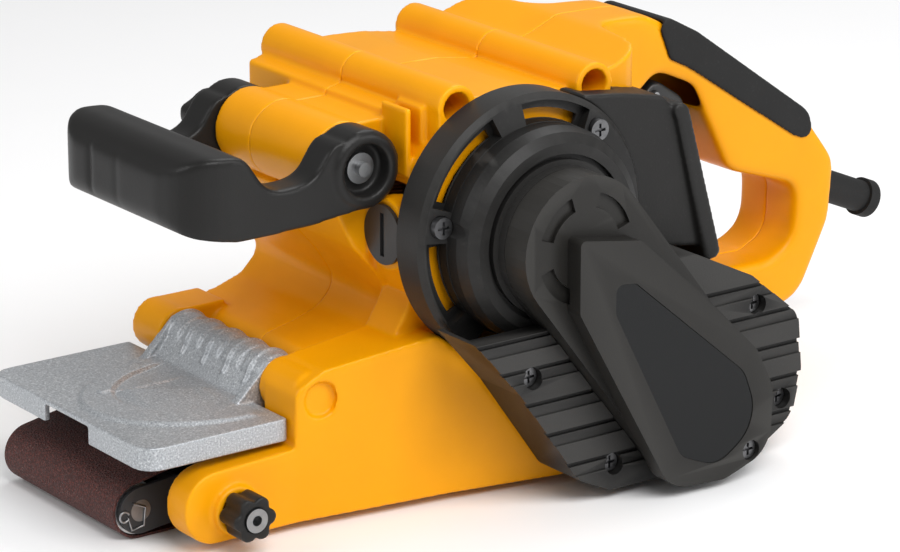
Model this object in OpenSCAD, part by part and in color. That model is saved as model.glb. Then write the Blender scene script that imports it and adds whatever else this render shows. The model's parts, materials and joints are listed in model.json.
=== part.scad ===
// Handheld belt sander with a hinged nose cover, a swinging front handle
// and a rear D-handle.  Millimetres.  The nose points to -Y, the belt-drive
// side is +X, up is +Z.  The origin is the middle of the sanding face.

/* [Sanding belt] */
// Width of the sanding belt
belt_w = 76; // [60:1:100]
// Thickness of the sanding belt
belt_t = 0.9; // [0.6:0.1:1.5]
// Distance between the front roller axis and the drum axis
roller_span = 203; // [160:1:240]
// Outside radius of the belt round the front roller
nose_r = 10.6; // [8:0.1:18]
// Outside radius of the belt round the drum
drum_belt_r = 29; // [22:0.5:34]
// Gap left between the belt and anything that turns inside it
belt_gap = 0.3; // [0.2:0.05:0.6]

/* [Nose cover] */
// Overall width of the nose cover and its hinge
nose_w = 106; // [90:1:120]
// Depth of the flat plate from front edge to rear edge
nose_depth = 59; // [45:1:70]
// Outside radius of the hinge barrel
hinge_r = 9.5; // [7:0.5:11]

/* [Housing] */
// Radius of the motor barrel
barrel_r = 45; // [42:1:48]
// Wall thickness of the clamshells
wall = 3.2; // [2.4:0.2:4]
// Width of the rear handle
handle_w = 36; // [30:1:42]
// Bore radius of the two stand sockets
stand_bore_r = 5.5; // [4:0.5:6.5]
// Outside radius of the two stand sockets
stand_tube_r = 8.2; // [7:0.1:10]

/* [Drive] */
// Radius of the pulley on the motor shaft
motor_pulley_r = 8; // [6:0.5:10]
// Radius of the pulley on the drum shaft
drum_pulley_r = 14; // [11:0.5:16]
// Thickness of the toothed belt
tooth_belt_t = 1.6; // [1:0.1:2.5]

/* [Front handle] */
// Height of the grip bar of the front handle
bail_h = 33; // [24:1:38]
// Radius of the handle pivot hubs
bail_hub_r = 14.5; // [12:0.5:17]

/* [Hidden] */
$fn = 64;
// Distance from the front roller axis to the middle of the sanding face
middle_y = 97;
seam_x = 7.3;
handle_x = 8;
far_x = -44;
near_x = 62;
barrel_end_x = 68;
shield_rim_x = 82;
case_face_x = 108;
motor_y = 140;
motor_z = 100;
hinge_y = 58.4;
hinge_z = 47.6;
nose_x = near_x - nose_w / 2;
bail_y = 83;
bail_z = 126;
knob_y = 22;
knob_z = 14.5;
belt_in_nose = nose_r - belt_t;
belt_in_drum = drum_belt_r - belt_t;
roller_r = belt_in_nose - belt_gap;
sleeve_r = belt_in_drum - belt_gap;
belt_edge = belt_w / 2;
shaft_fit = 0.05;
pin_gap = 0.1;
move_gap = 0.4;

// Numbers that tie neighbouring parts together
skirt_x = 66;
arm_x = 53;
neck_x = 46;
handle_x0 = handle_x - handle_w / 2;
handle_x1 = handle_x + handle_w / 2;
barrel_x0 = far_x + 19.5;
barrel_x1 = near_x - 20.9;
bail_near_x0 = 46;
bail_near_x1 = 60;
hub_floor_x = bail_near_x1 - 5;
bail_far_x0 = -30;
bail_far_x1 = -16;
bearing_r = 13;
shaft_r = 5;
drum_shaft_r = 6;
brush_face = 46.5;
stand_sockets = [[117, 145], [178.5, 144]];
shield_r = 49.6;
lobe_at = [195, 29.5];
shield_screw_angles = [50, 169];
louvre_z = [17, 30.5, 43.5, 57, 69];
case_holes = [[123, 53], [160, 13], [226, 61], [239, 22]];
lid_screws = [[212, 11.5]];
trigger_at = [242, 120.5];
lever_at = [-38, 44];
spring_x = [-22, 22];
pin_end_x = 58;
nose_front = -11.6;
nose_top = 41.7;
case_screws = [[305, 33], [321.5, 50], [296, 97], [216, 116], [262, 32]];

plastic_yellow = [0.96, 0.68, 0.08];
plastic_black = [0.17, 0.17, 0.17];
rubber_black = [0.1, 0.1, 0.1];
cast_silver = [0.74, 0.76, 0.78];
steel = [0.6, 0.61, 0.63];
copper = [0.72, 0.42, 0.22];
grit = [0.36, 0.17, 0.16];

// ---- helpers -------------------------------------------------------------

// Everything below is laid out from the front roller axis
module from_roller() {
    translate([0, -middle_y, 0]) children();
}

// A bar along X with a [y, z] outline
module side_bar(x0, x1) {
    translate([x0, 0, 0]) rotate([90, 0, 90]) linear_extrude(x1 - x0) children();
}

// A cylinder along X
module rod(x0, x1, y, z, r) {
    translate([x0, y, z]) rotate([0, 90, 0]) cylinder(h = x1 - x0, r = r);
}

// A ring along X
module ring(x0, x1, y, z, r_out, r_in) {
    difference() {
        rod(x0, x1, y, z, r_out);
        rod(x0 - 1, x1 + 1, y, z, r_in);
    }
}

// A body of revolution about an axis along X, from [radius, x] points
module turned(y, z) {
    translate([0, y, z]) rotate([0, 90, 0]) rotate_extrude() children();
}

// Part of a body of revolution, angles counted from +Y toward +Z
module turned_arc(y, z, a0, a1) {
    translate([0, y, z]) rotate([0, 90, 0])
        rotate_extrude(angle = a1 - a0, start = a0 + 90) children();
}

module box(x0, x1, y0, y1, z0, z1) {
    translate([x0, y0, z0]) cube([x1 - x0, y1 - y0, z1 - z0]);
}

function unit(v) = v / norm(v);

// Points of one rounded corner between two straight edges
function corner(before, at, after, r, steps) =
    let (u = unit(before - at))
    let (v = unit(after - at))
    let (half = acos(max(-1, min(1, u * v))) / 2)
    let (centre = at + unit(u + v) * r / sin(half))
    let (start = at + u * r / tan(half) - centre)
    let (stop = at + v * r / tan(half) - centre)
    let (a0 = atan2(start[1], start[0]))
    let (turn = atan2(stop[1], stop[0]) - a0)
    let (sweep = turn > 180 ? turn - 360 : (turn < -180 ? turn + 360 : turn))
    [for (i = [0:steps]) centre + r * [cos(a0 + sweep * i / steps), sin(a0 + sweep * i / steps)]];

function flat(p) = [p[0], p[1]];

// Outline through [a, b, radius] points with every corner rounded
function rounded(points, steps = 5) =
    let (n = len(points))
    [for (i = [0:n - 1])
        each points[i][2] > 0
            ? corner(flat(points[(i + n - 1) % n]), flat(points[i]), flat(points[(i + 1) % n]),
                points[i][2], steps)
            : [flat(points[i])]];

// Outline of a belt stretched round two circles
function belt_path(c0, r0, c1, r1, steps = 24) =
    let (d = c1 - c0)
    let (lean = atan2(d[1], d[0]))
    let (open = acos((r0 - r1) / norm(d)))
    concat(
        [for (i = [0:steps])
            let (a = lean + open + (360 - 2 * open) * i / steps)
            c0 + r0 * [cos(a), sin(a)]],
        [for (i = [0:steps])
            let (a = lean - open + 2 * open * i / steps)
            c1 + r1 * [cos(a), sin(a)]]);

roller_at = [0, nose_r];
drum_at = [roller_span, drum_belt_r];
motor_at = [motor_y, motor_z];

// ---- yellow clamshells ---------------------------------------------------

// Side outline of the main body and the rear handle
module body_side() {
    polygon(rounded([
        [71, 42, 0], [72, 53, 6], [86, 56, 10], [97, 59.5, 10], [106, 68, 8], [97, 82, 14],
        [87, 93, 12], [79, 109, 0], [91, 138.5, 6], [109, 143, 6],
        [130, 145.8, 12], [152, 145.4, 12], [172, 142.4, 8], [193, 148, 10], [208, 154, 14],
        [236, 153.4, 20], [260, 141, 20], [319, 99.5, 16], [334, 80, 12],
        [332, 56, 14], [317, 26, 16], [300, 22, 10], [252, 21, 0], [252, 44, 0], [228, 62, 0],
        [200, 62.5, 0]]));
}

// Finger opening of the rear handle
module grip_opening() {
    polygon(rounded([
        [229, 68, 8], [229, 106, 5], [243, 106, 6], [283, 83, 0], [314, 73, 7], [313, 50, 12],
        [300, 44, 8], [256, 45, 10]]));
}

// Side outline of the hollow for the motor, the switch and the cord
module body_hollow() {
    polygon(rounded([
        [100, 47, 0], [100, 53, 3], [117, 65, 4], [117, 78, 4], [108, 100, 4], [108, 132, 3],
        [178, 132, 3], [204, 148, 6], [239, 148, 10], [260, 136, 8], [311, 99, 4], [328, 82, 3],
        [328, 64, 3], [318.5, 64, 3], [318.5, 80, 3], [250, 121, 4], [224, 112, 3], [224, 70, 4],
        [196, 67, 2]]));
}

// Side outline of the skirt beside the belt, with the round-nosed front arm
module skirt_side() {
    polygon(rounded([
        [2, 3, 12.9], [2, 29, 12.9], [47.9, 31, 0], [48.5, 52, 6], [60, 58.5, 4], [104, 64, 6],
        [120, 60, 0], [232, 60, 0], [232, 8, 6], [226, 3, 0]], 8));
}

// Plan outline of the skirt, widening toward the rear
module skirt_plan(inset) {
    polygon([
        [44 + inset, 50], [arm_x + inset, 42], [arm_x + inset, -14], [skirt_x - inset, -14], [skirt_x - inset, 48], [74 - inset, 110],
        [shield_rim_x - inset, 152], [shield_rim_x - inset, 232 - inset], [44 + inset, 232 - inset]]);
}

module skirt_solid() {
    intersection() {
        side_bar(44, shield_rim_x) skirt_side();
        linear_extrude(90) skirt_plan(0);
    }
    // shroud ring behind the vent windows, clear of the front stand socket
    difference() {
        ring(barrel_end_x - 0.5, 75.6, motor_y, motor_z, 46, 37.4);
        rod(barrel_end_x, 80, stand_sockets[0][0], stand_sockets[0][1], 7);
        rod(60, 80, stand_sockets[0][0], stand_sockets[0][1], stand_bore_r);
    }
    // raised ring round the tracking screw
    ring(skirt_x, skirt_x + 2.5, knob_y, knob_z, 9, 6);
}

module skirt_hollow() {
    intersection() {
        side_bar(40, 79)
            polygon(rounded([[54, 6.5, 3], [54, 49, 3], [228, 56, 3], [228, 6.5, 3]]));
        translate([0, 0, 1]) linear_extrude(90) skirt_plan(wall);
    }
    box(43, 52, 54, 228, 6.5, 50);
}

// Hinge lug of the nose cover
module hinge_lug(x0, x1) {
    rod(x0, x1, hinge_y, hinge_z, hinge_r + 0.3);
    box(x0, x1, hinge_y, 78, 42, hinge_z + hinge_r);
}

// Plan outline of the body: the neck, wide round the motor, narrow along the handle
module body_plan(inset = 0) {
    polygon(rounded([
        [far_x + inset, 58, 0], [neck_x - inset, 58, 0], [neck_x - inset, 118 + inset, 0],
        [near_x - inset, 118 + inset, 0], [near_x - inset, 205 - inset, 12],
        [handle_x1 - inset, 211 - inset, 10], [handle_x1 - inset, 352 - inset, 8],
        [handle_x0 + inset, 352 - inset, 8], [handle_x0 + inset, 211 - inset, 10],
        [far_x + inset, 205 - inset, 12]]));
}

module body_solid() {
    difference() {
        union() {
            intersection() {
                side_bar(far_x, near_x) body_side();
                linear_extrude(200) body_plan();
            }
            rod(far_x - 2, barrel_end_x, motor_y, motor_z, barrel_r);
            // cheek between the near hinge lug and the motor barrel
            side_bar(neck_x - 2, near_x) polygon(rounded([
                [72, 44, 0], [72, 57.5, 0], [83, 57.6, 8], [93, 62.4, 5], [99, 72, 3],
                [104, 82, 0], [124, 80, 0], [124, 44, 0]]));
            // web under the front stand socket
            side_bar(far_x - 2, barrel_end_x) polygon([
                [109.1, 145], [124.9, 145], [124.9, 138], [109.1, 129]]);
        }
        side_bar(far_x - 5, barrel_end_x + 5) grip_opening();
        // room for the hubs of the front handle
        box(-60, 90, 50, 102, 110, 160);
        // clearance for the hinge barrel
        rod(barrel_x0 - 0.4, barrel_x1 + 0.4, hinge_y, hinge_z, hinge_r + 2.5);
    }
}

module body_cavity() {
    rod(far_x + 1.2, barrel_end_x + 1, motor_y, motor_z, barrel_r - 4);
    intersection() {
        side_bar(far_x, near_x) body_hollow();
        translate([0, 0, -1]) linear_extrude(202) body_plan(wall);
    }
}

module pivot_tube() {
    rod(bail_far_x1 + move_gap, bail_near_x0 - move_gap, bail_y, bail_z, 14.5);
    box(bail_far_x1 + move_gap, bail_near_x0 - move_gap, bail_y, 106, 113, 139);
}

module stand_tubes(r, over) {
    for (p = stand_sockets) rod(far_x - 2 - over, barrel_end_x + over, p[0], p[1], r);
}

// Slot under the handle for the trigger, open on the near side
module trigger_slot() {
    side_bar(-6.6, handle_x1 + 1) polygon(rounded([
        [229, 100, 0], [231, 120, 5], [242, 129.5, 6], [260, 121.5, 6], [279, 84, 0]]));
}

module boot_axis() {
    translate([handle_x, 326.5, 71]) rotate([-112.9, 0, 0]) children();
}

module brush_axes() {
    for (s = [-1, 1]) translate([57, motor_y, motor_z]) rotate([90 * s, 0, 0]) children();
}

module shell_pair() {
    difference() {
        union() {
            difference() {
                union() {
                    body_solid();
                    intersection() {
                        brush_axes() cylinder(h = 49, r = 13.5);
                        box(40, barrel_end_x, motor_y - brush_face, motor_y + brush_face, 80, 120);
                    }
                    pivot_tube();
                }
                body_cavity();
            }
            stand_tubes(stand_tube_r, 0);
            hinge_lug(barrel_x1 + move_gap, near_x);
            hinge_lug(far_x, barrel_x0 - move_gap);
            // seat of the far motor bearing
            ring(far_x + 0.6, far_x + 10, motor_y, motor_z, 17, bearing_r);
            // stop ribs beside the near hub of the front handle
            for (y = [100.6, 107]) box(neck_x - 2, 60, y, y + 2.5, 120, 145);
        }
        stand_tubes(stand_bore_r, 2);
        rod(-40, 70, bail_y, bail_z, 4.2);
        trigger_slot();
        rod(-9.5, 25.5, trigger_at[0], trigger_at[1], 1.5);
        boot_axis() translate([0, 0, -6]) cylinder(h = 30, r = 6.6);
        brush_axes() cylinder(h = 60, r = 9.6);
        brush_axes() translate([0, 0, brush_face]) cylinder(h = 14, r = 11.3);
        rod(far_x - 1, pin_end_x, hinge_y, hinge_z, 2.5);
        // cooling slots in the far side of the motor barrel
        for (i = [-3, -2, 2, 3])
            box(far_x - 3, far_x + 2, motor_y - 28, motor_y + 28, motor_z + i * 9 - 2, motor_z + i * 9 + 2);
        case_screw_rods(2.05, 3.9);
    }
}

module left_housing() {
    color(plastic_yellow) from_roller() difference() {
        union() {
            intersection() {
                shell_pair();
                box(seam_x, 100, -30, 400, -5, 200);
            }
            skirt_solid();
        }
        skirt_hollow();
        rod(40, pin_end_x, hinge_y, hinge_z, 2.5);
        // shallow round recess over the hinge
        rod(skirt_x - 0.7, skirt_x + 2, hinge_y, hinge_z, 6.6);
        // room for the rim of the round shield
        ring(barrel_end_x, 100, motor_y, motor_z, shield_r + 0.3, 46);
        rod(75.6, 100, motor_y, motor_z, 47);
        rod(barrel_end_x - 2, 100, motor_y, motor_z, 37.4);
        shield_screw_rods(60, 78, 2.05);
        rod(40, 90, knob_y, knob_z, 2.7);
        rod(40, 90, drum_at[0], drum_at[1], 9);
    }
}

module right_housing() {
    color(plastic_yellow) from_roller() intersection() {
        shell_pair();
        box(-100, seam_x, -30, 400, -5, 200);
    }
}

// ---- black covers --------------------------------------------------------

// Round end shield over the fan, with a band of vent windows
module end_shield() {
    color(plastic_black) from_roller() difference() {
        turned(motor_y, motor_z) polygon([
            [shield_r, barrel_end_x], [shield_r, 80.5], [shield_r - 1.8, shield_rim_x + 0.5],
            [39.5, 84.5], [39.5, 90], [38, 94.5], [34.5, 97], [30.6, 97], [30.6, 94.6], [28.6, 94.6],
            [28.6, 97], [bearing_r, 97], [bearing_r, 90], [17, 90], [17, 91.7], [33, 91.7],
            [36.4, 88], [36.4, 80], [46.6, 77], [46.6, barrel_end_x]]);
        // sunk band of the vents, with solid bridges between the windows
        for (a = [[58, 97], [113, 161], [177, 219], [235, 262]]) {
            turned_arc(motor_y, motor_z, a[0], a[1]) translate([39.7, 79.6]) square([7.4, 8]);
            turned_arc(motor_y, motor_z, a[0] + 3, a[1] - 3) translate([40, 70]) square([3.8, 12]);
        }
        shield_screw_rods(60, 83.1, 2.05);
        shield_screw_rods(83, 100, 4.2);
    }
}

// Side outline of the belt case: sloping front edge, flat foot, rounded rear
module case_side(trim = 0) {
    polygon(rounded([
        [98 + trim, 70 - trim, 0], [117 + trim, 48, 10], [144 + trim, 10 + trim, 6],
        [158, 3.5 + trim, 4], [226, 3.5 + trim, 4], [244 - trim, 14, 8], [248 - trim, 32, 8],
        [246 - trim, 54, 8], [223, 73 - trim, 8], [196, 86 - trim, 0], [178, 86 - trim, 0],
        [160, 70 - trim, 0]]));
}

// Outline of the drive arm from the motor to the drum
module arm_side(trim = 0) {
    polygon(belt_path(motor_at, 26.5 - trim, lobe_at, 27 - trim));
}

module drive_case() {
    color(plastic_black) from_roller() difference() {
        union() {
            difference() {
                union() {
                    difference() {
                        side_bar(shield_rim_x, 106) case_side();
                        side_bar(shield_rim_x - 1, 103) case_side(wall);
                    }
                    for (p = case_holes) rod(shield_rim_x + 0.5, 104, p[0], p[1], 6);
                    // ribs that tie the drum bearing seat to the walls
                    box(shield_rim_x + 0.5, 97.5, 201, 205, 5, 80);
                    box(shield_rim_x + 0.5, 97.5, 180, 246, 27, 31);
                    rod(shield_rim_x + 2, 97.5, drum_at[0], drum_at[1], 17);
                }
                rod(60, 98.2, motor_y, motor_z, shield_r + 0.3);
                side_bar(100.7, 107) arm_side(-0.3);
            }
            side_bar(97, 100.6) arm_side();
        }
        // overlapping louvre edges on the outer face
        for (z = louvre_z) {
            box(104.2, 107, 90, 260, z - 1.2, z + 0.8);
            box(105.2, 107, 90, 260, z - 5, z - 1.2);
        }
        rod(96, 102, motor_y, motor_z, 20);
        rod(96, 102, drum_at[0], drum_at[1], 9);
        rod(80, 97, drum_at[0], drum_at[1], bearing_r);
        for (p = case_holes) rod(100, 107, p[0], p[1], 3.9);
        for (p = case_holes) rod(80, 107, p[0], p[1], 2.05);
        for (p = lid_screws) rod(90, 107, p[0], p[1], 2.05);
        for (p = lid_screws) rod(100.7, 107, p[0], p[1], 3.7);
    }
}

// Raised panel of the drive cover
module panel_side(trim = 0) {
    polygon(rounded([
        [132 + trim, 106 - trim, 2], [159 - trim, 101.5 - trim, 4], [189, 75 - trim, 30],
        [214 - trim, 50, 14], [222 - trim, 34, 14], [221 - trim, 10, 14], [199, 2.8 + trim, 16],
        [174 + trim, 5 + trim, 14], [132 + trim, 79, 4]], 8));
}

module label_side(trim = 0) {
    polygon(rounded([
        [148 + trim, 87 - trim, 3], [157 - trim, 86 - trim, 3], [208 - trim, 43, 14],
        [216 - trim, 22, 16], [196, 9 + trim, 12], [179 + trim, 16, 10], [148 + trim, 76, 6]], 8));
}

module drive_cover() {
    color(plastic_black) from_roller() difference() {
        union() {
            difference() {
                union() {
                    side_bar(100.9, 113) arm_side();
                    side_bar(113, 120.5) panel_side();
                }
                side_bar(100, 110.8) arm_side(2.4);
                side_bar(110, 117.4) intersection() {
                    panel_side(3);
                    arm_side(2.4);
                }
            }
            for (p = lid_screws) rod(100.9, 116, p[0], p[1], 3.4);
        }
        side_bar(119.2, 121) label_side();
        for (a = [135, 45, 225])
            turned_arc(motor_y, motor_z, a - 27, a + 27) translate([15, 111.4]) square([5.5, 3]);
        for (p = lid_screws) rod(90, 122, p[0], p[1], 2.05);
        for (p = lid_screws) rod(116, 122, p[0], p[1], 3.9);
    }
}

// Plain glossy insert, no marking
module label_plate() {
    color([0.08, 0.09, 0.09]) from_roller() side_bar(119.2, 120.2) label_side(0.15);
}

// Hood behind the drum
module rear_hood() {
    color(plastic_black) from_roller() difference() {
        side_bar(far_x + 2, shield_rim_x - 0.2) intersection() {
            polygon(rounded([
                [206, 61.8, 0], [227.6, 61.8, 0], [251.7, 43.8, 0], [251.7, 12, 8], [243, 4, 4],
                [222, 4, 0], [206, 30, 0]]));
            translate([0, -1]) square([300, 80]);
        }
        rod(far_x - 1, 43.6, drum_at[0], drum_at[1], drum_belt_r + 2.5);
        box(43.5, 90, 200, 232.2, 0, 61);
        side_bar(far_x + 5, shield_rim_x - 3.2) polygon(rounded([
            [209, 58.6, 0], [226.5, 58.6, 0], [248.5, 42.2, 0], [248.5, 13.4, 6], [241.9, 7.2, 3],
            [215, 7.2, 0], [209, 30, 0]]));
    }
}

// Plan outline kept clear of the rear corner of the yellow body
module body_corner_room() {
    polygon([
        [30, 150], [62.4, 150], [62.4, 195], [61.8, 199.1], [59.6, 202.9], [56.3, 205.8],
        [52.2, 207.3], [30, 211]]);
}

// Blower outlet beside the rear handle
module dust_port() {
    color(plastic_black) from_roller() difference() {
        union() {
            side_bar(46, 78) polygon(rounded([
                [166, 144, 0], [183, 142, 6], [203, 138, 4], [212, 128, 4], [226, 77, 3],
                [206, 80, 3], [180, 80, 0]]));
            // flange
            side_bar(43.4, 80.5) polygon(rounded([
                [200.6, 141, 3], [213, 133, 4], [230, 73, 3], [222.4, 71.5, 2], [207.4, 129, 3]]));
        }
        rod(50, 90, motor_y, motor_z, shield_r + 0.2);
        rod(30, 69, motor_y, motor_z, barrel_r + 0.2);
        for (p = stand_sockets) rod(-60, 69, p[0], p[1], stand_tube_r + 0.3);
        side_bar(48.4, 75.6) polygon([
            [208.6, 131.4], [240, 135.3], [240, 80.6], [222.3, 81.1], [208, 84.9]]);
        translate([0, 0, 55]) linear_extrude(100) body_corner_room();
    }
}

// ---- handles, trigger, cord entry ----------------------------------------

// Rubber skin on top of the rear handle
module soft_grip() {
    color(rubber_black) from_roller() intersection() {
        side_bar(handle_x0 - 1.2, handle_x1 + 1.2) polygon(rounded([
            [238, 155.4, 4], [261, 143.2, 20], [318.5, 102.6, 10], [322, 89, 4], [310, 94, 6],
            [257, 129, 6], [247, 134, 3], [243.5, 143, 3]]));
        difference() {
            side_bar(handle_x0 - 1.2, handle_x1 + 1.2) square([400, 200]);
            side_bar(handle_x0 - 0.01, handle_x1 + 0.01) body_side();
        }
    }
}

module trigger() {
    color(plastic_black) from_roller() difference() {
        side_bar(-6, handle_x1 - 2) polygon(rounded([
            [233, 112, 3], [237, 121, 4], [243, 126.5, 4], [256, 118, 3], [264, 100, 3],
            [258, 95, 2], [247, 100, 12]]));
        rod(-20, 40, trigger_at[0], trigger_at[1], 1.5 + shaft_fit);
    }
}

module trigger_pin() {
    color(steel) from_roller() rod(-9.5, 25.5, trigger_at[0], trigger_at[1], 1.5);
}

module switch_block() {
    color([0.2, 0.2, 0.22]) from_roller() {
        box(-3, 19, 230, 250, 131.5, 138);
        box(0, 16, 233, 246, 138, 141);
    }
}

module capacitor() {
    color([0.85, 0.8, 0.55]) from_roller() box(0, 16, 206, 226, 120, 132);
}

// Strain relief of the mains cord
module cord_boot() {
    color(rubber_black) from_roller() boot_axis() difference() {
        union() {
            translate([0, 0, -2]) cylinder(h = 45, r = 6.5);
            translate([0, 0, 39]) cylinder(h = 5, r = 7.8);
        }
        translate([0, 0, -3]) cylinder(h = 60, r = 3.8);
    }
}

module cord_clamp() {
    color(plastic_black) from_roller() difference() {
        box(-4, 20, 299, 307, 93, 97.5);
        rod(-10, 30, 303, 99, 3.6);
    }
}

// U-shaped front handle: a plan outline crossed with a side outline
module front_handle() {
    color(plastic_black) from_roller() difference() {
        union() {
            intersection() {
                translate([0, 0, 90]) linear_extrude(70) polygon(rounded([
                    [bail_near_x1, 110, 0], [bail_near_x1, 12, 16], [38, 9.5, 20], [-16, 9.5, 10],
                    [bail_far_x0, 12, 12], [bail_far_x0, 110, 0], [bail_far_x1, 110, 0],
                    [bail_far_x1, 46, 8], [-6, 36, 8], [34, 36, 8], [bail_near_x0, 46, 10],
                    [bail_near_x0, 110, 0]]));
                side_bar(bail_far_x0 - 1, bail_near_x1 + 1) union() {
                    polygon(rounded([
                        [9.4, 112, 8], [9.4, 107 + bail_h - 3, 10], [20, 107 + bail_h, 8],
                        [33, 139, 8], [43, 124, 12], [61, 125, 12], [70, 137.5, 8],
                        [bail_y, 138.5, 0], [bail_y, 112, 0], [60, 109, 10], [30, 108.5, 10]]));
                    translate([bail_y, bail_z]) circle(r = bail_hub_r);
                }
            }
            rod(bail_near_x1 - 1, bail_near_x1 + 1.5, bail_y, bail_z, 13.2);
        }
        rod(hub_floor_x, bail_near_x1 + 2, bail_y, bail_z, 9.5);
        rod(-40, 70, bail_y, bail_z, 4.05);
        // parting grooves in the front skirt of the grip
        for (x = [-6.5, 11.5]) box(x, x + 1.6, 9, 11, 100, 136);
    }
}

module handle_bolt() {
    color(steel) from_roller() {
        rod(-38, hub_floor_x, bail_y, bail_z, 4);
        rod(hub_floor_x, hub_floor_x + 1.8, bail_y, bail_z, 5.6);
        rod(hub_floor_x + 1.8, hub_floor_x + 4.6, bail_y, bail_z, 2.6);
    }
}

// Wing knob that clamps the front handle
module clamp_knob() {
    color(plastic_black) from_roller() difference() {
        union() {
            rod(-44, bail_far_x0 - move_gap, bail_y, bail_z, 8);
            side_bar(-43, bail_far_x0 - 3) polygon(rounded([
                [bail_y - 12.5, bail_z - 3, 3], [bail_y - 12.5, bail_z + 3, 3], [bail_y, bail_z + 8, 4],
                [bail_y + 12.5, bail_z + 3, 3], [bail_y + 12.5, bail_z - 3, 3],
                [bail_y, bail_z - 8, 4]]));
        }
        rod(-38.3, -20, bail_y, bail_z, 4.05);
    }
}

// ---- nose cover ----------------------------------------------------------

module nose_cover() {
    color(cast_silver) from_roller() difference() {
        union() {
            // plate and its skirt
            difference() {
                translate([0, 0, nose_top - 8.6]) linear_extrude(8.6) polygon(rounded([
                    [nose_x - nose_w / 2, nose_front, 7], [nose_x + nose_w / 2, nose_front, 8],
                    [nose_x + nose_w / 2, nose_front + nose_depth, 1],
                    [nose_x - nose_w / 2, nose_front + nose_depth, 1]]));
                translate([0, 0, nose_top - 9]) linear_extrude(6.4) polygon(rounded([
                    [nose_x - nose_w / 2 + 2.4, nose_front + 2.4, 5],
                    [nose_x + nose_w / 2 - 2.4, nose_front + 2.4, 6],
                    [nose_x + nose_w / 2 - 2.4, nose_front + nose_depth + 3, 0],
                    [nose_x - nose_w / 2 + 2.4, nose_front + nose_depth + 3, 0]]));
                // notch in the front skirt
                box(-6, 24, nose_front - 1, nose_front + 3, 30, nose_top - 2);
            }
            // web up to the hinge
            side_bar(barrel_x0, barrel_x1) polygon([
                [34, nose_top - 2.6], [34, nose_top], [44, nose_top + 1], [52, hinge_z + 6],
                [hinge_y, hinge_z], [54, nose_top - 2.6]]);
            // hinge barrel with raised bands
            rod(barrel_x0, barrel_x1, hinge_y, hinge_z, hinge_r - 0.8);
            for (i = [0:4])
                rod(barrel_x0 + 1 + i * 13.2, barrel_x0 + 11 + i * 13.2, hinge_y, hinge_z, hinge_r);
            // gussets beside the barrel
            for (x = [barrel_x0, barrel_x1 - 4]) side_bar(x, x + 4) polygon([
                [38, nose_top - 1], [54, hinge_z + 8], [58, nose_top - 1]]);
            // low centre ridge of the plate
            box(2, 4, 6, 40, nose_top - 1, nose_top + 0.8);
        }
        rod(barrel_x0 - 1, barrel_x1 + 1, hinge_y, hinge_z, 2.5 + pin_gap);
        // pocket for the spring
        rod(0, 14, hinge_y, hinge_z, 6.2);
    }
}

module hinge_pin() {
    color(steel) from_roller() {
        rod(far_x, pin_end_x, hinge_y, hinge_z, 2.5);
        rod(far_x - 1.8, far_x, hinge_y, hinge_z, 4.6);
    }
}

module cover_spring() {
    color(steel) from_roller() ring(1, 13, hinge_y, hinge_z, 5.6, 3.4);
}

// ---- belt, rollers and frame ---------------------------------------------

module sanding_belt() {
    color(grit) from_roller() side_bar(-belt_edge, belt_edge) difference() {
        polygon(belt_path(roller_at, nose_r, drum_at, drum_belt_r, 32));
        polygon(belt_path(roller_at, belt_in_nose, drum_at, belt_in_drum, 32));
    }
}

module platen_pad() {
    color([0.28, 0.28, 0.29]) from_roller() box(-36, 36, 22, 172, 1.2, 2.8);
}

module platen() {
    color(steel) from_roller() {
        box(-36, 36, 22, 172, 2.8, 4.6);
        box(-36, 36, 172, 173.8, 2.8, 8);
    }
}

module belt_frame() {
    color([0.66, 0.67, 0.69]) from_roller() difference() {
        union() {
            side_bar(-34, 40) polygon([
                [30, 4.6], [160, 4.6], [160, 42], [120, 36], [60, 26], [30, 21]]);
            side_bar(40, 43.8) polygon(rounded([
                [27, 5, 4], [27, 24, 4], [66, 34, 6], [190, 52, 10], [222, 44, 16],
                [222, 10, 8], [200, 5, 4]]));
            rod(40, 51, drum_at[0], drum_at[1], 16);
            // ears of the release lever
            for (z = [[5, 9.6], [20.4, 24]]) box(-42, -33, 39, 50, z[0], z[1]);
        }
        // slot for the tongue of the roller yoke
        box(-10.3, 10.3, 29, 61, 5.7, 16.3);
        rod(36, 52, drum_at[0], drum_at[1], bearing_r);
        // weight-saving pockets
        for (y = [64, 96, 128]) box(-35, 30, y, y + 26, 8, 22 + (y - 64) / 8);
        translate([lever_at[0], lever_at[1], 0]) cylinder(h = 40, r = 2);
        // pockets of the tension springs
        for (x = spring_x) translate([x, 29, 11]) rotate([-90, 0, 0]) cylinder(h = 17.5, r = 4.4);
    }
}

module idler_roller() {
    color(steel) from_roller() ring(-37, 37, roller_at[0], roller_at[1], roller_r, 4 + shaft_fit);
}

module idler_axle() {
    color(steel) from_roller() rod(-40, 39.4, roller_at[0], roller_at[1], 4);
}

module roller_yoke() {
    color(plastic_black) from_roller() difference() {
        union() {
            for (x = [[-40, -37.4], [37.4, 39.4]]) side_bar(x[0], x[1]) polygon(
                belt_path(roller_at, nose_r - 2, [13.6, 12], 8.4, 16));
            box(-40, 39.4, 13, 19, 5, 17);
            box(-10, 10, 19, 50, 6, 16);
        }
        rod(-45, 45, roller_at[0], roller_at[1], 4);
    }
}

// Wire clip on the near end of the front roller
module roller_clip() {
    color(steel) from_roller() {
        turned_arc(6, 11, 40, 320) translate([5, 39.4]) square([1, 1]);
    }
}

module tension_springs() {
    color(steel) from_roller() for (x = spring_x) translate([x, 19.1, 11]) rotate([-90, 0, 0])
        difference() {
            cylinder(h = 20, r = 3.9);
            translate([0, 0, -1]) cylinder(h = 22, r = 2.9);
        }
}

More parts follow.
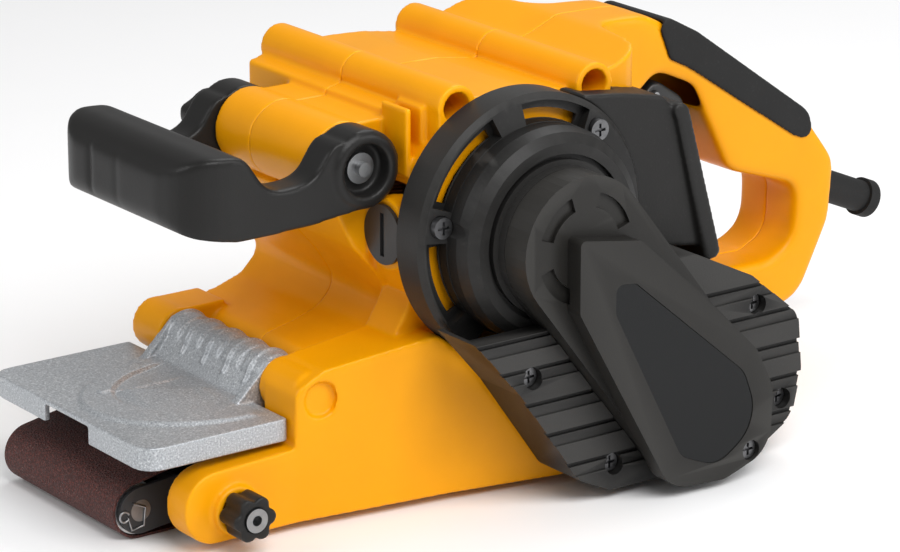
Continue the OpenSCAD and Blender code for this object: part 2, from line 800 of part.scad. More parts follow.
// Belt release lever on the open side
module tension_lever() {
    color(plastic_black) from_roller() difference() {
        union() {
            translate([lever_at[0], lever_at[1], 10]) cylinder(h = 10, r = 3.6);
            box(lever_at[0] - 3, lever_at[0] + 2.6, lever_at[1], 112, 11, 19);
            box(lever_at[0] - 4.5, lever_at[0] + 2.6, 98, 116, 10, 20);
        }
        translate([lever_at[0], lever_at[1], 5]) cylinder(h = 20, r = 2 + pin_gap);
    }
}

module lever_pin() {
    color(steel) from_roller() translate([lever_at[0], lever_at[1], 5]) cylinder(h = 19, r = 2);
}

module tracking_knob() {
    color(plastic_black) from_roller() difference() {
        union() {
            rod(skirt_x + 3, skirt_x + 14, knob_y, knob_z, 6.6);
            for (i = [0:5])
                rod(skirt_x + 3, skirt_x + 14, knob_y + 5.6 * cos(i * 60), knob_z + 5.6 * sin(i * 60), 3);
        }
        rod(skirt_x, skirt_x + 20, knob_y, knob_z, 2.5);
        rod(skirt_x + 12, skirt_x + 20, knob_y, knob_z, 4.4);
    }
}

module tracking_screw() {
    color(steel) from_roller() difference() {
        union() {
            rod(40, skirt_x + 12, knob_y, knob_z, 2.5);
            rod(skirt_x + 12, skirt_x + 14.6, knob_y, knob_z, 4.4);
        }
        rod(skirt_x + 10, skirt_x + 15, knob_y, knob_z, 1.9);
    }
}

// ---- drum and belt drive -------------------------------------------------

module drive_drum() {
    color([0.68, 0.69, 0.71]) from_roller() ring(-37, 37, drum_at[0], drum_at[1], 24, drum_shaft_r);
}

module drum_sleeve() {
    color(rubber_black) from_roller() ring(-37, 37, drum_at[0], drum_at[1], sleeve_r, 24);
}

module drum_shaft() {
    color(steel) from_roller() rod(-38, 111.5, drum_at[0], drum_at[1], drum_shaft_r);
}

module drum_bearings() {
    color(steel) from_roller() {
        ring(42, 51, drum_at[0], drum_at[1], bearing_r, drum_shaft_r + shaft_fit);
        ring(86, 95, drum_at[0], drum_at[1], bearing_r, drum_shaft_r + shaft_fit);
    }
}

module drum_pulley() {
    color([0.3, 0.3, 0.32]) from_roller() difference() {
        union() {
            rod(102, 110, drum_at[0], drum_at[1], drum_pulley_r - 0.6);
            for (i = [0:23]) translate([0, drum_at[0], drum_at[1]]) rotate([i * 15, 0, 0])
                box(102, 110, drum_pulley_r - 2, drum_pulley_r, -0.8, 0.8);
        }
        rod(101, 111, drum_at[0], drum_at[1], drum_shaft_r);
    }
}

module motor_pulley() {
    color([0.3, 0.3, 0.32]) from_roller() difference() {
        union() {
            rod(102, 110, motor_y, motor_z, motor_pulley_r - 0.6);
            for (i = [0:13]) translate([0, motor_y, motor_z]) rotate([i * 360 / 14, 0, 0])
                box(102, 110, motor_pulley_r - 2, motor_pulley_r, -0.8, 0.8);
        }
        rod(101, 111, motor_y, motor_z, shaft_r);
    }
}

module toothed_belt() {
    color([0.12, 0.12, 0.13]) from_roller() side_bar(102.4, 109.6) difference() {
        polygon(belt_path(motor_at, motor_pulley_r + belt_gap + tooth_belt_t, drum_at,
            drum_pulley_r + belt_gap + tooth_belt_t));
        polygon(belt_path(motor_at, motor_pulley_r + belt_gap, drum_at, drum_pulley_r + belt_gap));
    }
}

// ---- motor ---------------------------------------------------------------

module motor_shaft() {
    color(steel) from_roller() rod(-40, 110.3, motor_y, motor_z, shaft_r);
}

module armature_core() {
    color([0.45, 0.45, 0.47]) from_roller() difference() {
        rod(-17, 29, motor_y, motor_z, 25.6);
        rod(-18, 30, motor_y, motor_z, shaft_r);
        for (i = [0:11]) translate([0, motor_y, motor_z]) rotate([i * 30, 0, 0])
            box(-18, 30, 18, 27, -1.2, 1.2);
    }
}

module armature_windings() {
    color(copper) from_roller() {
        ring(-27, -17, motor_y, motor_z, 21, shaft_r);
        ring(29, 39, motor_y, motor_z, 21, shaft_r);
    }
}

module commutator() {
    color(copper) from_roller() difference() {
        ring(47, 66, motor_y, motor_z, 14, shaft_r);
        for (i = [0:23]) translate([0, motor_y, motor_z]) rotate([i * 15, 0, 0])
            box(49, 67, 12.6, 15, -0.3, 0.3);
    }
}

module field_core() {
    color([0.42, 0.42, 0.44]) from_roller() ring(-18, 30, motor_y, motor_z, barrel_r - 4, 26.4);
}

module field_coils() {
    color(copper) from_roller() {
        ring(-29, -18, motor_y, motor_z, 38, 28);
        ring(30, 40, motor_y, motor_z, 38, 28);
    }
}

module motor_bearings() {
    color(steel) from_roller() {
        ring(far_x + 3, far_x + 10, motor_y, motor_z, bearing_r, shaft_r + shaft_fit);
        ring(90, 96.8, motor_y, motor_z, bearing_r, shaft_r + shaft_fit);
    }
}

module fan() {
    color([0.32, 0.32, 0.34]) from_roller() difference() {
        union() {
            rod(72, 88, motor_y, motor_z, 9);
            rod(84.5, 86.5, motor_y, motor_z, 33);
            for (i = [0:10]) translate([0, motor_y, motor_z]) rotate([i * 360 / 11, 0, 0])
                box(76, 85, 8, 32.5, -0.9, 0.9);
        }
        rod(70, 90, motor_y, motor_z, shaft_r);
    }
}

module brush_holders() {
    color([0.78, 0.66, 0.3]) from_roller() brush_axes() difference() {
        translate([0, 0, 16]) cylinder(h = 25, r = 9.5);
        translate([-4, -3, 15]) cube([8, 6, 27]);
    }
}

module carbon_brushes() {
    color([0.13, 0.13, 0.14]) from_roller() brush_axes() translate([-3.9, -2.9, 14.4]) cube([7.8, 5.8, 14]);
}

module brush_springs() {
    color(steel) from_roller() brush_axes() difference() {
        translate([0, 0, 28.4]) cylinder(h = 12.6, r = 2.7);
        translate([0, 0, 28]) cylinder(h = 14, r = 1.9);
    }
}

module brush_caps() {
    color(plastic_black) from_roller() brush_axes() difference() {
        union() {
            translate([0, 0, 41]) cylinder(h = brush_face - 41, r = 9.5);
            translate([0, 0, brush_face]) cylinder(h = 1.6, r = 11);
        }
        translate([-1.2, -8, brush_face + 0.4]) cube([2.4, 16, 3]);
    }
}

// ---- screws --------------------------------------------------------------

module shield_screw_rods(x0, x1, r) {
    for (a = shield_screw_angles)
        rod(x0, x1, motor_y + 42.6 * cos(a), motor_z + 42.6 * sin(a), r);
}

module case_screw_rods(r, head) {
    for (p = case_screws) {
        rod(handle_x0 + 3, handle_x1 - 3, p[0], p[1], r);
        rod(handle_x0 - 1, handle_x0 + 3, p[0], p[1], head);
    }
}

// Cross-slotted screws of the round shield, the belt case and its cover
module cross_screw(x_head, x_tip, y, z, head) {
    difference() {
        union() {
            rod(x_tip, x_head, y, z, 2);
            rod(x_head, x_head + 2.6, y, z, head);
        }
        box(x_head + 1.4, x_head + 3, y - 2.4, y + 2.4, z - 0.5, z + 0.5);
        box(x_head + 1.4, x_head + 3, y - 0.5, y + 0.5, z - 2.4, z + 2.4);
    }
}

module cover_screws() {
    color(steel) from_roller() {
        for (a = shield_screw_angles)
            cross_screw(83.1, 70.5, motor_y + 42.6 * cos(a), motor_z + 42.6 * sin(a), 3.9);
        for (p = case_holes) cross_screw(100, 84, p[0], p[1], 3.6);
        for (p = lid_screws) cross_screw(116, 96, p[0], p[1], 3.6);
    }
}

module housing_screws() {
    color(steel) from_roller() for (p = case_screws) {
        rod(handle_x0 + 3, handle_x1 - 3.5, p[0], p[1], 2);
        rod(handle_x0 + 0.6, handle_x0 + 3, p[0], p[1], 3.6);
    }
}

left_housing();
right_housing();
end_shield();
drive_case();
drive_cover();
label_plate();
rear_hood();
dust_port();
soft_grip();
trigger();
trigger_pin();
switch_block();
capacitor();
cord_boot();
cord_clamp();
front_handle();
handle_bolt();
clamp_knob();
nose_cover();
hinge_pin();
cover_spring();
sanding_belt();
platen_pad();
platen();
belt_frame();
idler_roller();
idler_axle();
roller_yoke();
roller_clip();
tension_springs();
tension_lever();
lever_pin();
tracking_knob();
tracking_screw();
drive_drum();
drum_sleeve();
drum_shaft();
drum_bearings();
drum_pulley();
motor_pulley();
toothed_belt();
motor_shaft();
armature_core();
armature_windings();
commutator();
field_core();
field_coils();
motor_bearings();
fan();
brush_holders();
carbon_brushes();
brush_springs();
brush_caps();
housing_screws();
cover_screws();
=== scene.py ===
"""Looks of the handheld belt sander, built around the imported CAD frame."""
import json
import math

import bmesh
import bpy
import numpy as np
from mathutils import Matrix, Vector

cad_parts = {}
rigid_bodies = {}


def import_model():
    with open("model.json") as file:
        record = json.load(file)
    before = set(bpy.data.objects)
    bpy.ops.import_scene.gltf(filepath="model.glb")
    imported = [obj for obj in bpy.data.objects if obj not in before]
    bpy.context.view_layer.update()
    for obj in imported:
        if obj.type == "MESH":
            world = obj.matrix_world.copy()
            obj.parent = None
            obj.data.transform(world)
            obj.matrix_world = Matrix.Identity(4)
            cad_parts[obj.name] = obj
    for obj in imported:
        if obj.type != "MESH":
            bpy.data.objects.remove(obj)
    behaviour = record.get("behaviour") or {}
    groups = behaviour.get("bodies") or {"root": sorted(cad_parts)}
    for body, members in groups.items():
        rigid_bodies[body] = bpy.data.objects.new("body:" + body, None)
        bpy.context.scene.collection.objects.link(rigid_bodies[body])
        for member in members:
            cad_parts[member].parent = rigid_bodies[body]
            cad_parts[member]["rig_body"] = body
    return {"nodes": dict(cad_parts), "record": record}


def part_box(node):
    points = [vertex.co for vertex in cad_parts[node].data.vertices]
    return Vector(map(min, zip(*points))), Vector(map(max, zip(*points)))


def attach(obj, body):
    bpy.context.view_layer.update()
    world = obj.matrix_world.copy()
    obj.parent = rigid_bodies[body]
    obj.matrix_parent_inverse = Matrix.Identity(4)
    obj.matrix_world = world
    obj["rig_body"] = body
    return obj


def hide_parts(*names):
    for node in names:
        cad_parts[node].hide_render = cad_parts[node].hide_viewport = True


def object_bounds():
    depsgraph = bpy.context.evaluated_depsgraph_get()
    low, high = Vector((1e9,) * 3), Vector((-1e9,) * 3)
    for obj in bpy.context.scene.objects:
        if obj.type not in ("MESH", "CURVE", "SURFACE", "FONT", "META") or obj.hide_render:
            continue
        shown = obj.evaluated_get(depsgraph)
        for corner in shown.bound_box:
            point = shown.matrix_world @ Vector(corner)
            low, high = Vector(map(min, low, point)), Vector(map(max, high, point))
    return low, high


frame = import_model()


def plain_box(pair):
    return [[float(v) for v in corner] for corner in pair]


CAD_BOX = plain_box(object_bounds())
NODES = frame["nodes"]
MM = 0.001


def middle(node):
    low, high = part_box(node)
    return (low + high) / 2


# ---- camera, light and world ----------------------------------------------

AZIMUTH, ELEVATION = math.radians(53.98), math.radians(17.60)
DISTANCE, LENS = 1.5001, 158.1
TARGET = Vector((0, 0.06623, 0.05671))


def look_from(azimuth, elevation):
    return Vector((math.sin(azimuth) * math.cos(elevation),
                   -math.cos(azimuth) * math.cos(elevation), math.sin(elevation)))


camera_data = bpy.data.cameras.new("camera")
camera_data.lens = LENS
camera_data.sensor_width = 36
camera_data.clip_start = 0.05
camera = bpy.data.objects.new("camera", camera_data)
bpy.context.scene.collection.objects.link(camera)
camera.location = TARGET + look_from(AZIMUTH, ELEVATION) * DISTANCE
camera.rotation_euler = (TARGET - camera.location).to_track_quat("-Z", "Y").to_euler()
bpy.context.scene.camera = camera


def area_light(name, azimuth, elevation, distance, size, watts):
    data = bpy.data.lights.new(name, "AREA")
    data.shape = "RECTANGLE"
    data.size, data.size_y = size
    data.energy = watts
    lamp = bpy.data.objects.new(name, data)
    bpy.context.scene.collection.objects.link(lamp)
    away = look_from(math.radians(azimuth), math.radians(elevation))
    lamp.location = TARGET + away * distance
    lamp.rotation_euler = (-away).to_track_quat("-Z", "Y").to_euler()


area_light("key", 80, 48, 1.5, (1.0, 0.8), 18)
area_light("side", 125, 22, 1.6, (0.5, 0.9), 7)
area_light("front", -20, 30, 1.7, (0.9, 0.9), 7)
area_light("back", 205, 55, 1.6, (1.2, 0.8), 9)

world = bpy.data.worlds.new("studio")
world.use_nodes = True
world.node_tree.nodes["Background"].inputs["Color"].default_value = (1, 1, 1, 1)
world.node_tree.nodes["Background"].inputs["Strength"].default_value = 0.32
bpy.context.scene.world = world
bpy.context.scene.view_settings.view_transform = "Standard"


# ---- materials -------------------------------------------------------------

class Shader:
    """A Principled material with a few node helpers."""

    def __init__(self, name, color, rough, metal=0.0, **constants):
        self.material = bpy.data.materials.new(name)
        self.material.use_nodes = True
        self.tree = self.material.node_tree
        self.bsdf = self.tree.nodes["Principled BSDF"]
        self.color = (*color, 1)
        self.bsdf.inputs["Base Color"].default_value = self.color
        self.bsdf.inputs["Roughness"].default_value = rough
        self.bsdf.inputs["Metallic"].default_value = metal
        for key, value in constants.items():
            self.bsdf.inputs[key.replace("_", " ")].default_value = value
        self.coords = self.tree.nodes.new("ShaderNodeTexCoord").outputs["Object"]
        self.height = None

    def node(self, kind, **settings):
        made = self.tree.nodes.new(kind)
        for key, value in settings.items():
            setattr(made, key, value)
        return made

    def link(self, a, b):
        self.tree.links.new(a, b)

    def noise(self, scale, detail=3.0, stretch=None, distortion=0.0):
        made = self.node("ShaderNodeTexNoise")
        made.inputs["Scale"].default_value = scale
        made.inputs["Detail"].default_value = detail
        made.inputs["Distortion"].default_value = distortion
        if stretch:
            mapping = self.node("ShaderNodeMapping")
            mapping.inputs["Scale"].default_value = stretch
            self.link(self.coords, mapping.inputs["Vector"])
            self.link(mapping.outputs["Vector"], made.inputs["Vector"])
        else:
            self.link(self.coords, made.inputs["Vector"])
        return made.outputs["Fac"]

    def cells(self, scale, output="Distance"):
        made = self.node("ShaderNodeTexVoronoi")
        made.inputs["Scale"].default_value = scale
        self.link(self.coords, made.inputs["Vector"])
        return made.outputs[output]

    def ramp(self, value, low, high, out_low=0.0, out_high=1.0):
        made = self.node("ShaderNodeMapRange")
        for key, number in zip(("From Min", "From Max", "To Min", "To Max"),
                               (low, high, out_low, out_high)):
            made.inputs[key].default_value = number
        self.link(value, made.inputs["Value"])
        return made.outputs["Result"]

    def tint(self, value, other, amount=1.0):
        """Mixes the base colour towards another by a 0-1 value."""
        made = self.node("ShaderNodeMix", data_type="RGBA")
        if amount != 1.0:
            value = self.ramp(value, 0, 1, 0, amount)
        self.link(value, made.inputs["Factor"])
        source = self.bsdf.inputs["Base Color"]
        if source.links:
            self.link(source.links[0].from_socket, made.inputs["A"])
        else:
            made.inputs["A"].default_value = self.color
        made.inputs["B"].default_value = (*other, 1)
        self.link(made.outputs["Result"], source)

    def roughen(self, value, low, high):
        self.link(self.ramp(value, 0, 1, low, high), self.bsdf.inputs["Roughness"])

    def bump(self, value, strength, distance=0.0003):
        made = self.node("ShaderNodeBump")
        made.inputs["Strength"].default_value = strength
        made.inputs["Distance"].default_value = distance
        self.link(value, made.inputs["Height"])
        if self.height:
            self.link(self.height, made.inputs["Normal"])
        self.height = made.outputs["Normal"]
        self.link(self.height, self.bsdf.inputs["Normal"])

    def worn(self, other, low=0.52, high=0.6, amount=0.5):
        """Lightens the raised edges."""
        geometry = self.node("ShaderNodeNewGeometry")
        self.tint(self.ramp(geometry.outputs["Pointiness"], low, high), other, amount)


def moulded(name, color, rough, grain=0.25, scale=1400, fleck=None, edge=None, **constants):
    made = Shader(name, color, rough, **constants)
    dark = [c * 0.82 for c in color]
    made.tint(made.ramp(made.noise(28, 4), 0.35, 0.75), dark, 0.5)
    if fleck:
        made.tint(made.ramp(made.noise(900, 2), 0.62, 0.74), fleck, 0.35)
    made.roughen(made.noise(60, 5), rough - 0.07, rough + 0.09)
    made.bump(made.noise(scale, 4), grain, 0.00012)
    made.bump(made.noise(35, 2), 0.25, 0.0004)
    if edge:
        made.worn(edge)
    return made.material


def metal(name, color, rough, stretch=(1, 1, 1), scale=400, grain=0.2, metallic=1.0):
    made = Shader(name, color, rough, metallic)
    brushed = made.noise(scale, 5, stretch)
    made.tint(made.ramp(brushed, 0.3, 0.8), [c * 0.7 for c in color], 0.6)
    made.roughen(brushed, rough - 0.1, rough + 0.15)
    made.bump(brushed, grain, 0.0001)
    return made.material


def cast_metal(name):
    made = Shader(name, (0.42, 0.44, 0.46), 0.42, 0.5)
    speckle = made.noise(1500, 3)
    made.tint(made.ramp(speckle, 0.54, 0.68), (0.72, 0.74, 0.76), 0.8)
    made.tint(made.ramp(speckle, 0.46, 0.34), (0.22, 0.23, 0.25), 0.7)
    made.tint(made.ramp(made.noise(30, 3), 0.4, 0.8), (0.36, 0.38, 0.41), 0.4)
    made.roughen(speckle, 0.36, 0.55)
    made.bump(speckle, 0.35, 0.0002)
    made.bump(made.noise(400, 3), 0.25, 0.0003)
    return made.material


def abrasive(name):
    made = Shader(name, (0.085, 0.017, 0.013), 0.8)
    grains = made.cells(1500, "Color")
    shade = made.ramp(grains, 0.2, 1.0)
    made.tint(shade, (0.17, 0.05, 0.04), 0.9)
    made.tint(made.ramp(made.cells(1100), 0.34, 0.5), (0.04, 0.012, 0.01), 0.8)
    made.tint(made.ramp(made.noise(1800, 2), 0.66, 0.74), (0.5, 0.36, 0.33), 0.5)
    made.roughen(grains, 0.55, 0.95)
    made.bump(made.cells(1300), 0.9, 0.0005)
    return made.material


def laminated(name):
    made = Shader(name, (0.2, 0.2, 0.21), 0.45, 0.9)
    wave = made.node("ShaderNodeTexWave", bands_direction="X")
    wave.inputs["Scale"].default_value = 320
    made.link(made.coords, wave.inputs["Vector"])
    made.tint(wave.outputs["Fac"], (0.09, 0.09, 0.1), 0.8)
    made.roughen(made.noise(300, 4), 0.35, 0.6)
    made.bump(wave.outputs["Fac"], 0.5, 0.0002)
    return made.material


def wound(name):
    made = Shader(name, (0.55, 0.2, 0.07), 0.35, 0.8)
    wave = made.node("ShaderNodeTexWave", wave_type="RINGS", rings_direction="X")
    wave.inputs["Scale"].default_value = 240
    wave.inputs["Distortion"].default_value = 0.6
    made.link(made.coords, wave.inputs["Vector"])
    made.tint(wave.outputs["Fac"], (0.22, 0.06, 0.02), 0.7)
    made.roughen(made.noise(200, 3), 0.28, 0.5)
    made.bump(wave.outputs["Fac"], 0.7, 0.0004)
    return made.material


MATERIALS = {
    "yellow_plastic": moulded("yellow_plastic", (0.86, 0.345, 0.0), 0.36, 0.22, 1500,
                              edge=(0.95, 0.50, 0.01), Specular_IOR_Level=0.2),
    "black_plastic": moulded("black_plastic", (0.013, 0.0125, 0.012), 0.42, 0.35, 1300,
                             fleck=(0.03, 0.029, 0.027), edge=(0.06, 0.058, 0.055),
                             Specular_IOR_Level=0.22),
    "black_cover_plastic": moulded("black_cover_plastic", (0.017, 0.016, 0.0145), 0.38, 0.22, 1500,
                                   edge=(0.06, 0.058, 0.054), Specular_IOR_Level=0.22),
    "label_gloss": moulded("label_gloss", (0.004, 0.0045, 0.005), 0.16, 0.03, 700,
                           Specular_IOR_Level=0.15, Coat_Weight=0.12, Coat_Roughness=0.06),
    "grip_rubber": moulded("grip_rubber", (0.010, 0.010, 0.010), 0.66, 0.6, 1000,
                           fleck=(0.03, 0.03, 0.03), Specular_IOR_Level=0.3),
    "trigger_plastic": moulded("trigger_plastic", (0.012, 0.012, 0.012), 0.4),
    "inner_plastic": moulded("inner_plastic", (0.03, 0.03, 0.032), 0.5),
    "film_capacitor": moulded("film_capacitor", (0.6, 0.5, 0.2), 0.3, 0.1),
    "handle_plastic": moulded("handle_plastic", (0.013, 0.0125, 0.012), 0.36, 0.3, 1400,
                              edge=(0.05, 0.048, 0.045), Specular_IOR_Level=0.22),
    "cap_plastic": moulded("cap_plastic", (0.02, 0.02, 0.02), 0.38),
    "cast_alloy": cast_metal("cast_alloy"),
    "black_frame": moulded("black_frame", (0.017, 0.017, 0.018), 0.34, 0.3, 900,
                           edge=(0.07, 0.07, 0.07)),
    "turned_alloy": metal("turned_alloy", (0.7, 0.71, 0.73), 0.3, (60, 1, 1)),
    "steel": metal("steel", (0.30, 0.305, 0.31), 0.34, (40, 1, 1)),
    "spring_steel": metal("spring_steel", (0.42, 0.42, 0.43), 0.32),
    "bearing_steel": metal("bearing_steel", (0.66, 0.66, 0.67), 0.2, (30, 1, 1)),
    "zinc_screw": metal("zinc_screw", (0.16, 0.16, 0.165), 0.36),
    "abrasive_cloth": abrasive("abrasive_cloth"),
    "graphite_pad": moulded("graphite_pad", (0.04, 0.04, 0.043), 0.6, 0.5, 700),
    "drum_rubber": moulded("drum_rubber", (0.014, 0.014, 0.015), 0.62, 0.5, 900),
    "pulley_metal": metal("pulley_metal", (0.25, 0.25, 0.27), 0.4),
    "laminated_iron": laminated("laminated_iron"),
    "copper_wire": wound("copper_wire"),
    "brass_tube": metal("brass_tube", (0.72, 0.52, 0.2), 0.28),
    "carbon": moulded("carbon", (0.02, 0.02, 0.022), 0.55, 0.4, 800),
}


def dress(obj, slot):
    obj.data.materials.clear()
    obj.data.materials.append(MATERIALS[slot])


def round_edges(obj, width, segments=3, flatten=1.0, angle=32):
    """Merges flat facets, rounds the sharp edges and keeps the faces flat in shading."""
    planar = obj.modifiers.new("planar", "DECIMATE")
    planar.decimate_type = "DISSOLVE"
    planar.angle_limit = math.radians(flatten)
    bevel = obj.modifiers.new("edges", "BEVEL")
    bevel.width = width * MM
    bevel.segments = segments
    bevel.limit_method = "ANGLE"
    bevel.angle_limit = math.radians(angle)
    bevel.use_clamp_overlap = True
    bevel.miter_outer = "MITER_ARC"
    bevel.harden_normals = True
    obj.data.shade_smooth()
    normals = obj.modifiers.new("normals", "WEIGHTED_NORMAL")
    normals.keep_sharp = True


SLOTS = {s["node"]: s["material_slot"] for s in frame["record"]["subparts"]}
# Edge radius in mm of the nodes that keep their own mesh
PLAIN_EDGE = 0.25
EDGE_WIDTHS = {"drive_cover": 0.8, "drive_case": 0.7, "end_shield": 0.5, "rear_hood": 1.2,
               "tension_lever": 0.9, "belt_frame": 0.5, "cord_boot": 0.6, "label_plate": 0.15,
               "sanding_belt": 0.1, "cover_screws": 0.15}
# Nodes that a smoothed or bent piece replaces further down
SOFTENED = ("left_housing", "right_housing", "front_handle", "nose_cover", "soft_grip", "trigger",
            "dust_port", "clamp_knob", "tracking_knob")
for name, node in NODES.items():
    dress(node, SLOTS[name])
    if name not in SOFTENED:
        round_edges(node, EDGE_WIDTHS.get(name, PLAIN_EDGE))


# ---- moulded pieces ----------------------------------------------------------

def add_piece(name, mesh, body, slot, *nodes):
    """Puts a finished mesh on its body, in the place of the CAD nodes it stands for."""
    piece = bpy.data.objects.new(name, mesh)
    bpy.context.scene.collection.objects.link(piece)
    mesh.materials.clear()
    mesh.materials.append(MATERIALS[slot])
    mesh.shade_smooth()
    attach(piece, body)
    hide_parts(*nodes)
    return piece


def applied(obj):
    """The object's mesh with its modifiers applied; the object itself is removed."""
    depsgraph = bpy.context.evaluated_depsgraph_get()
    mesh = bpy.data.meshes.new_from_object(obj.evaluated_get(depsgraph))
    bpy.data.objects.remove(obj)
    return mesh


def loose(mesh):
    obj = bpy.data.objects.new("work", mesh)
    bpy.context.scene.collection.objects.link(obj)
    return obj


def voxels(mesh, size):
    """Rebuilds a closed mesh on an even grid."""
    obj = loose(mesh)
    remesh = obj.modifiers.new("grid", "REMESH")
    remesh.mode = "VOXEL"
    remesh.voxel_size = size * MM
    return applied(obj)


def points_of(mesh):
    """The mesh points as rows of x, y, z."""
    co = np.empty(len(mesh.vertices) * 3, np.float32)
    mesh.vertices.foreach_get("co", co)
    return co.reshape(-1, 3).astype(float)


def put_points(mesh, co):
    mesh.vertices.foreach_set("co", co.astype(np.float32).ravel())
    mesh.update()


def relax(mesh, passes, weight=None):
    """Smooths the mesh, each point by its own weight between 0 and 1."""
    co = points_of(mesh)
    edges = np.empty(len(mesh.edges) * 2, np.int32)
    mesh.edges.foreach_get("vertices", edges)
    a, b = edges[0::2], edges[1::2]
    count = len(co)
    degree = np.bincount(a, minlength=count) + np.bincount(b, minlength=count)
    pull = 0.5 * (np.ones(count) if weight is None else weight(co))
    for _ in range(passes):
        total = np.empty_like(co)
        for axis in range(3):
            total[:, axis] = (np.bincount(a, co[b, axis], count)
                              + np.bincount(b, co[a, axis], count))
        co += pull[:, None] * (total / degree[:, None] - co)
    put_points(mesh, co)


def thin_out(mesh, ratio):
    """The mesh with about this share of its faces left."""
    obj = loose(mesh)
    fewer = obj.modifiers.new("fewer", "DECIMATE")
    fewer.ratio = ratio
    return applied(obj)


def soften(name, node, size, passes, weight=None, ratio=0.5, shape=None):
    """A smooth moulded piece made from a CAD node's own mesh."""
    mesh = voxels(NODES[node].data.copy(), size)
    relax(mesh, passes, weight)
    if shape:
        put_points(mesh, shape(points_of(mesh)))
    mesh = thin_out(mesh, ratio)
    return add_piece(name, mesh, NODES[node]["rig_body"], SLOTS[node], node)


def ramp_up(values, low, high):
    """A smooth rise from 0 at low to 1 at high."""
    t = np.clip((values - low) / (high - low), 0, 1)
    return t * t * (3 - 2 * t)


SOCKET_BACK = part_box("brush_caps")[1].y
# Where the rounding of the rear handle starts and where it is full, behind the brush cap
HANDLE_START = SOCKET_BACK + 0.022
HANDLE_FULL = SOCKET_BACK + 0.045


def housing_weight(co):
    """More rounding along the rear handle than round the motor, and little at the seam."""
    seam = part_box("left_housing")[0].x
    along = 0.05 + 0.95 * ramp_up(co[:, 1], HANDLE_START, HANDLE_FULL)
    return along * (0.03 + 0.97 * ramp_up(np.abs(co[:, 0] - seam), 0.0005, 0.006))


def bail_weight(co):
    """Less rounding round the hubs of the front handle, to keep the recess."""
    hub = middle("handle_bolt")
    return 0.12 + 0.88 * ramp_up(np.hypot(co[:, 1] - hub.y, co[:, 2] - hub.z), 0.014, 0.022)


soften("left_shell", "left_housing", 0.7, 70, housing_weight, 0.3)
soften("right_shell", "right_housing", 0.8, 56, housing_weight, 0.35)
soften("grip_bar", "front_handle", 0.8, 18, bail_weight, 0.4)


# ---- relief on the cover plate -----------------------------------------------

PLATE_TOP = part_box("nose_cover")[0].z + 0.0086
BARREL_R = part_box("nose_cover")[1].z - middle("hinge_pin").z
# Heights of the relief in mm
LEAF_RISE = 1.3
CREST_RISE = 1.9
RING_RISE = 0.9
# Rings of the hinge barrel, as shares of the plate's width
RING_PLACES = (0.215, 0.345, 0.475, 0.605, 0.735)
RING_WIDTH = 0.009


def leaf_relief(co):
    """Presses the leaf pattern of the photograph into the top of the cover plate."""
    low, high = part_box("nose_cover")
    hinge_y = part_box("hinge_pin")[0].y
    across = (co[:, 0] - low.x) / (high.x - low.x)
    along = (co[:, 1] - low.y) / (hinge_y - low.y)
    leaf = np.hypot((across - 0.58) / 0.35, (along - 0.80) / 0.72)
    bowl = np.hypot((across - 0.56) / 0.27, (along - 0.84) / 0.56)
    rise = LEAF_RISE * (1 - ramp_up(leaf, 0.96, 1.02))
    rise -= LEAF_RISE * (1 - ramp_up(bowl, 0.93, 1.0))
    ridge_at = 0.40 + 0.30 * ramp_up(along, 0.25, 1.15) + 0.05 * np.sin(along * math.pi)
    beside = across - ridge_at
    crest = np.where(beside < 0, np.exp(beside / 0.010), np.exp(-beside / 0.11))
    rise += CREST_RISE * crest * ramp_up(along, 0.34, 0.42) * (1 - ramp_up(bowl, 0.9, 1.0))
    on_top = ramp_up(co[:, 2], PLATE_TOP - 0.0016, PLATE_TOP - 0.0004)
    on_top *= 1 - ramp_up(co[:, 2], PLATE_TOP + 0.001, PLATE_TOP + 0.0022)
    inside = (1 - ramp_up(along, 0.74, 0.86)) * ramp_up(along, 0.03, 0.08)
    co[:, 2] += MM * rise * on_top * inside
    # thin raised rings round the hinge barrel
    pin_low, pin_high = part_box("hinge_pin")
    out = co[:, 1:] - ((pin_low + pin_high) / 2).yz
    radius = np.hypot(out[:, 0], out[:, 1])
    at_barrel = ramp_up(radius, BARREL_R - 0.0022, BARREL_R - 0.0008)
    at_barrel *= 1 - ramp_up(radius, BARREL_R + 0.0012, BARREL_R + 0.0024)
    rings = np.zeros(len(co))
    for place in RING_PLACES:
        rings += np.exp(-((across - place) / RING_WIDTH) ** 2)
    outward = out / np.maximum(radius, 0.001)[:, None]
    co[:, 1:] += outward * (MM * RING_RISE * rings * at_barrel)[:, None]
    return co


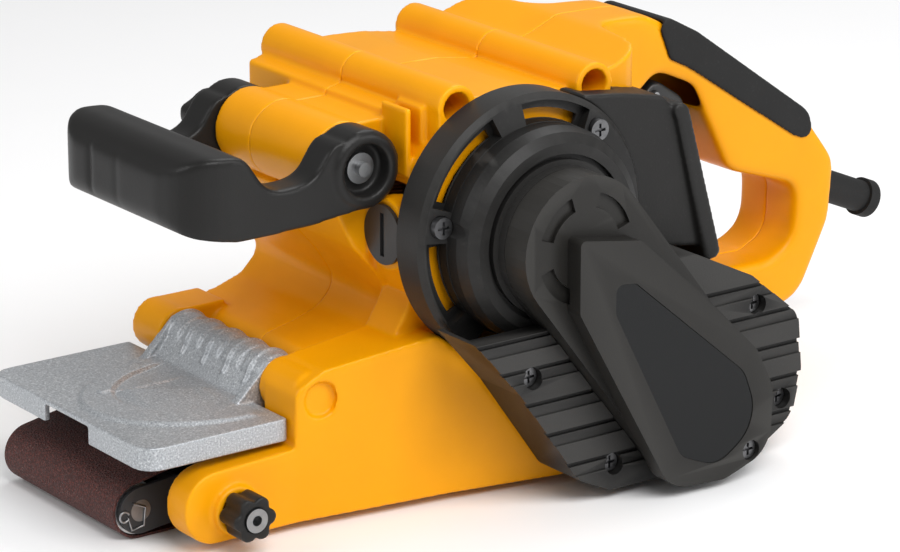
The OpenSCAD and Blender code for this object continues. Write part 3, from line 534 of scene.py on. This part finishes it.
def wire(name, points, radius, node):
    """A round wire through the points, in the place of a CAD node."""
    curve = bpy.data.curves.new(name, "CURVE")
    curve.dimensions = "3D"
    curve.bevel_depth = radius
    curve.bevel_resolution = 4
    curve.use_fill_caps = True
    line = curve.splines.new("POLY")
    line.points.add(len(points) - 1)
    for point, place in zip(line.points, points):
        point.co = (*place, 1)
    mesh = applied(loose(curve))
    return add_piece(name, mesh, NODES[node]["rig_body"], SLOTS[node], node)


def belt_clip():
    """Route of the wire clip: a small loop, then an open five-sided bend, in mm from the axle."""
    axle = middle("idler_axle")
    out_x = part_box("roller_yoke")[1].x + 0.4 * MM
    bends = [(-5.6, -1.6), (-4.2, -6.4), (0.8, -5.6), (1.6, 1.2), (-3.4, 3.4)]
    loop = [(-7.0 + 1.9 * math.cos(t), -0.9 + 1.9 * math.sin(t))
            for t in (math.radians(20 + 22 * step) for step in range(15))]
    return [(out_x, axle.y + y * MM, axle.z + z * MM) for y, z in loop + bends]


WIRE_RADIUS = 0.42 * MM
wire("wire_clip", belt_clip(), WIRE_RADIUS, "roller_clip")

soften("cover_plate", "nose_cover", 0.5, 2, None, 0.5, leaf_relief)
soften("finger_trigger", "trigger", 0.8, 14, None, 0.4)
soften("dust_outlet_box", "dust_port", 0.8, 4, None, 0.4)
soften("wing_knob", "clamp_knob", 0.7, 8, None, 0.5)
soften("lobed_knob", "tracking_knob", 0.6, 4, None, 0.5)
soften("grip_skin", "soft_grip", 0.7, 5, None, 0.5)


# ---- floor -----------------------------------------------------------------

FLOOR_GAP = 0.2 * MM
floor_mesh = bpy.data.meshes.new("floor")
floor_shape = bmesh.new()
bmesh.ops.create_grid(floor_shape, x_segments=8, y_segments=8, size=4)
floor_shape.to_mesh(floor_mesh)
floor = bpy.data.objects.new("floor", floor_mesh)
bpy.context.scene.collection.objects.link(floor)
floor.location = (0, 0, CAD_BOX[0][2] - FLOOR_GAP)
floor_look = Shader("floor", (0.95, 0.95, 0.955), 0.6)
floor_look.roughen(floor_look.noise(12, 3), 0.55, 0.68)
floor.data.materials.append(floor_look.material)
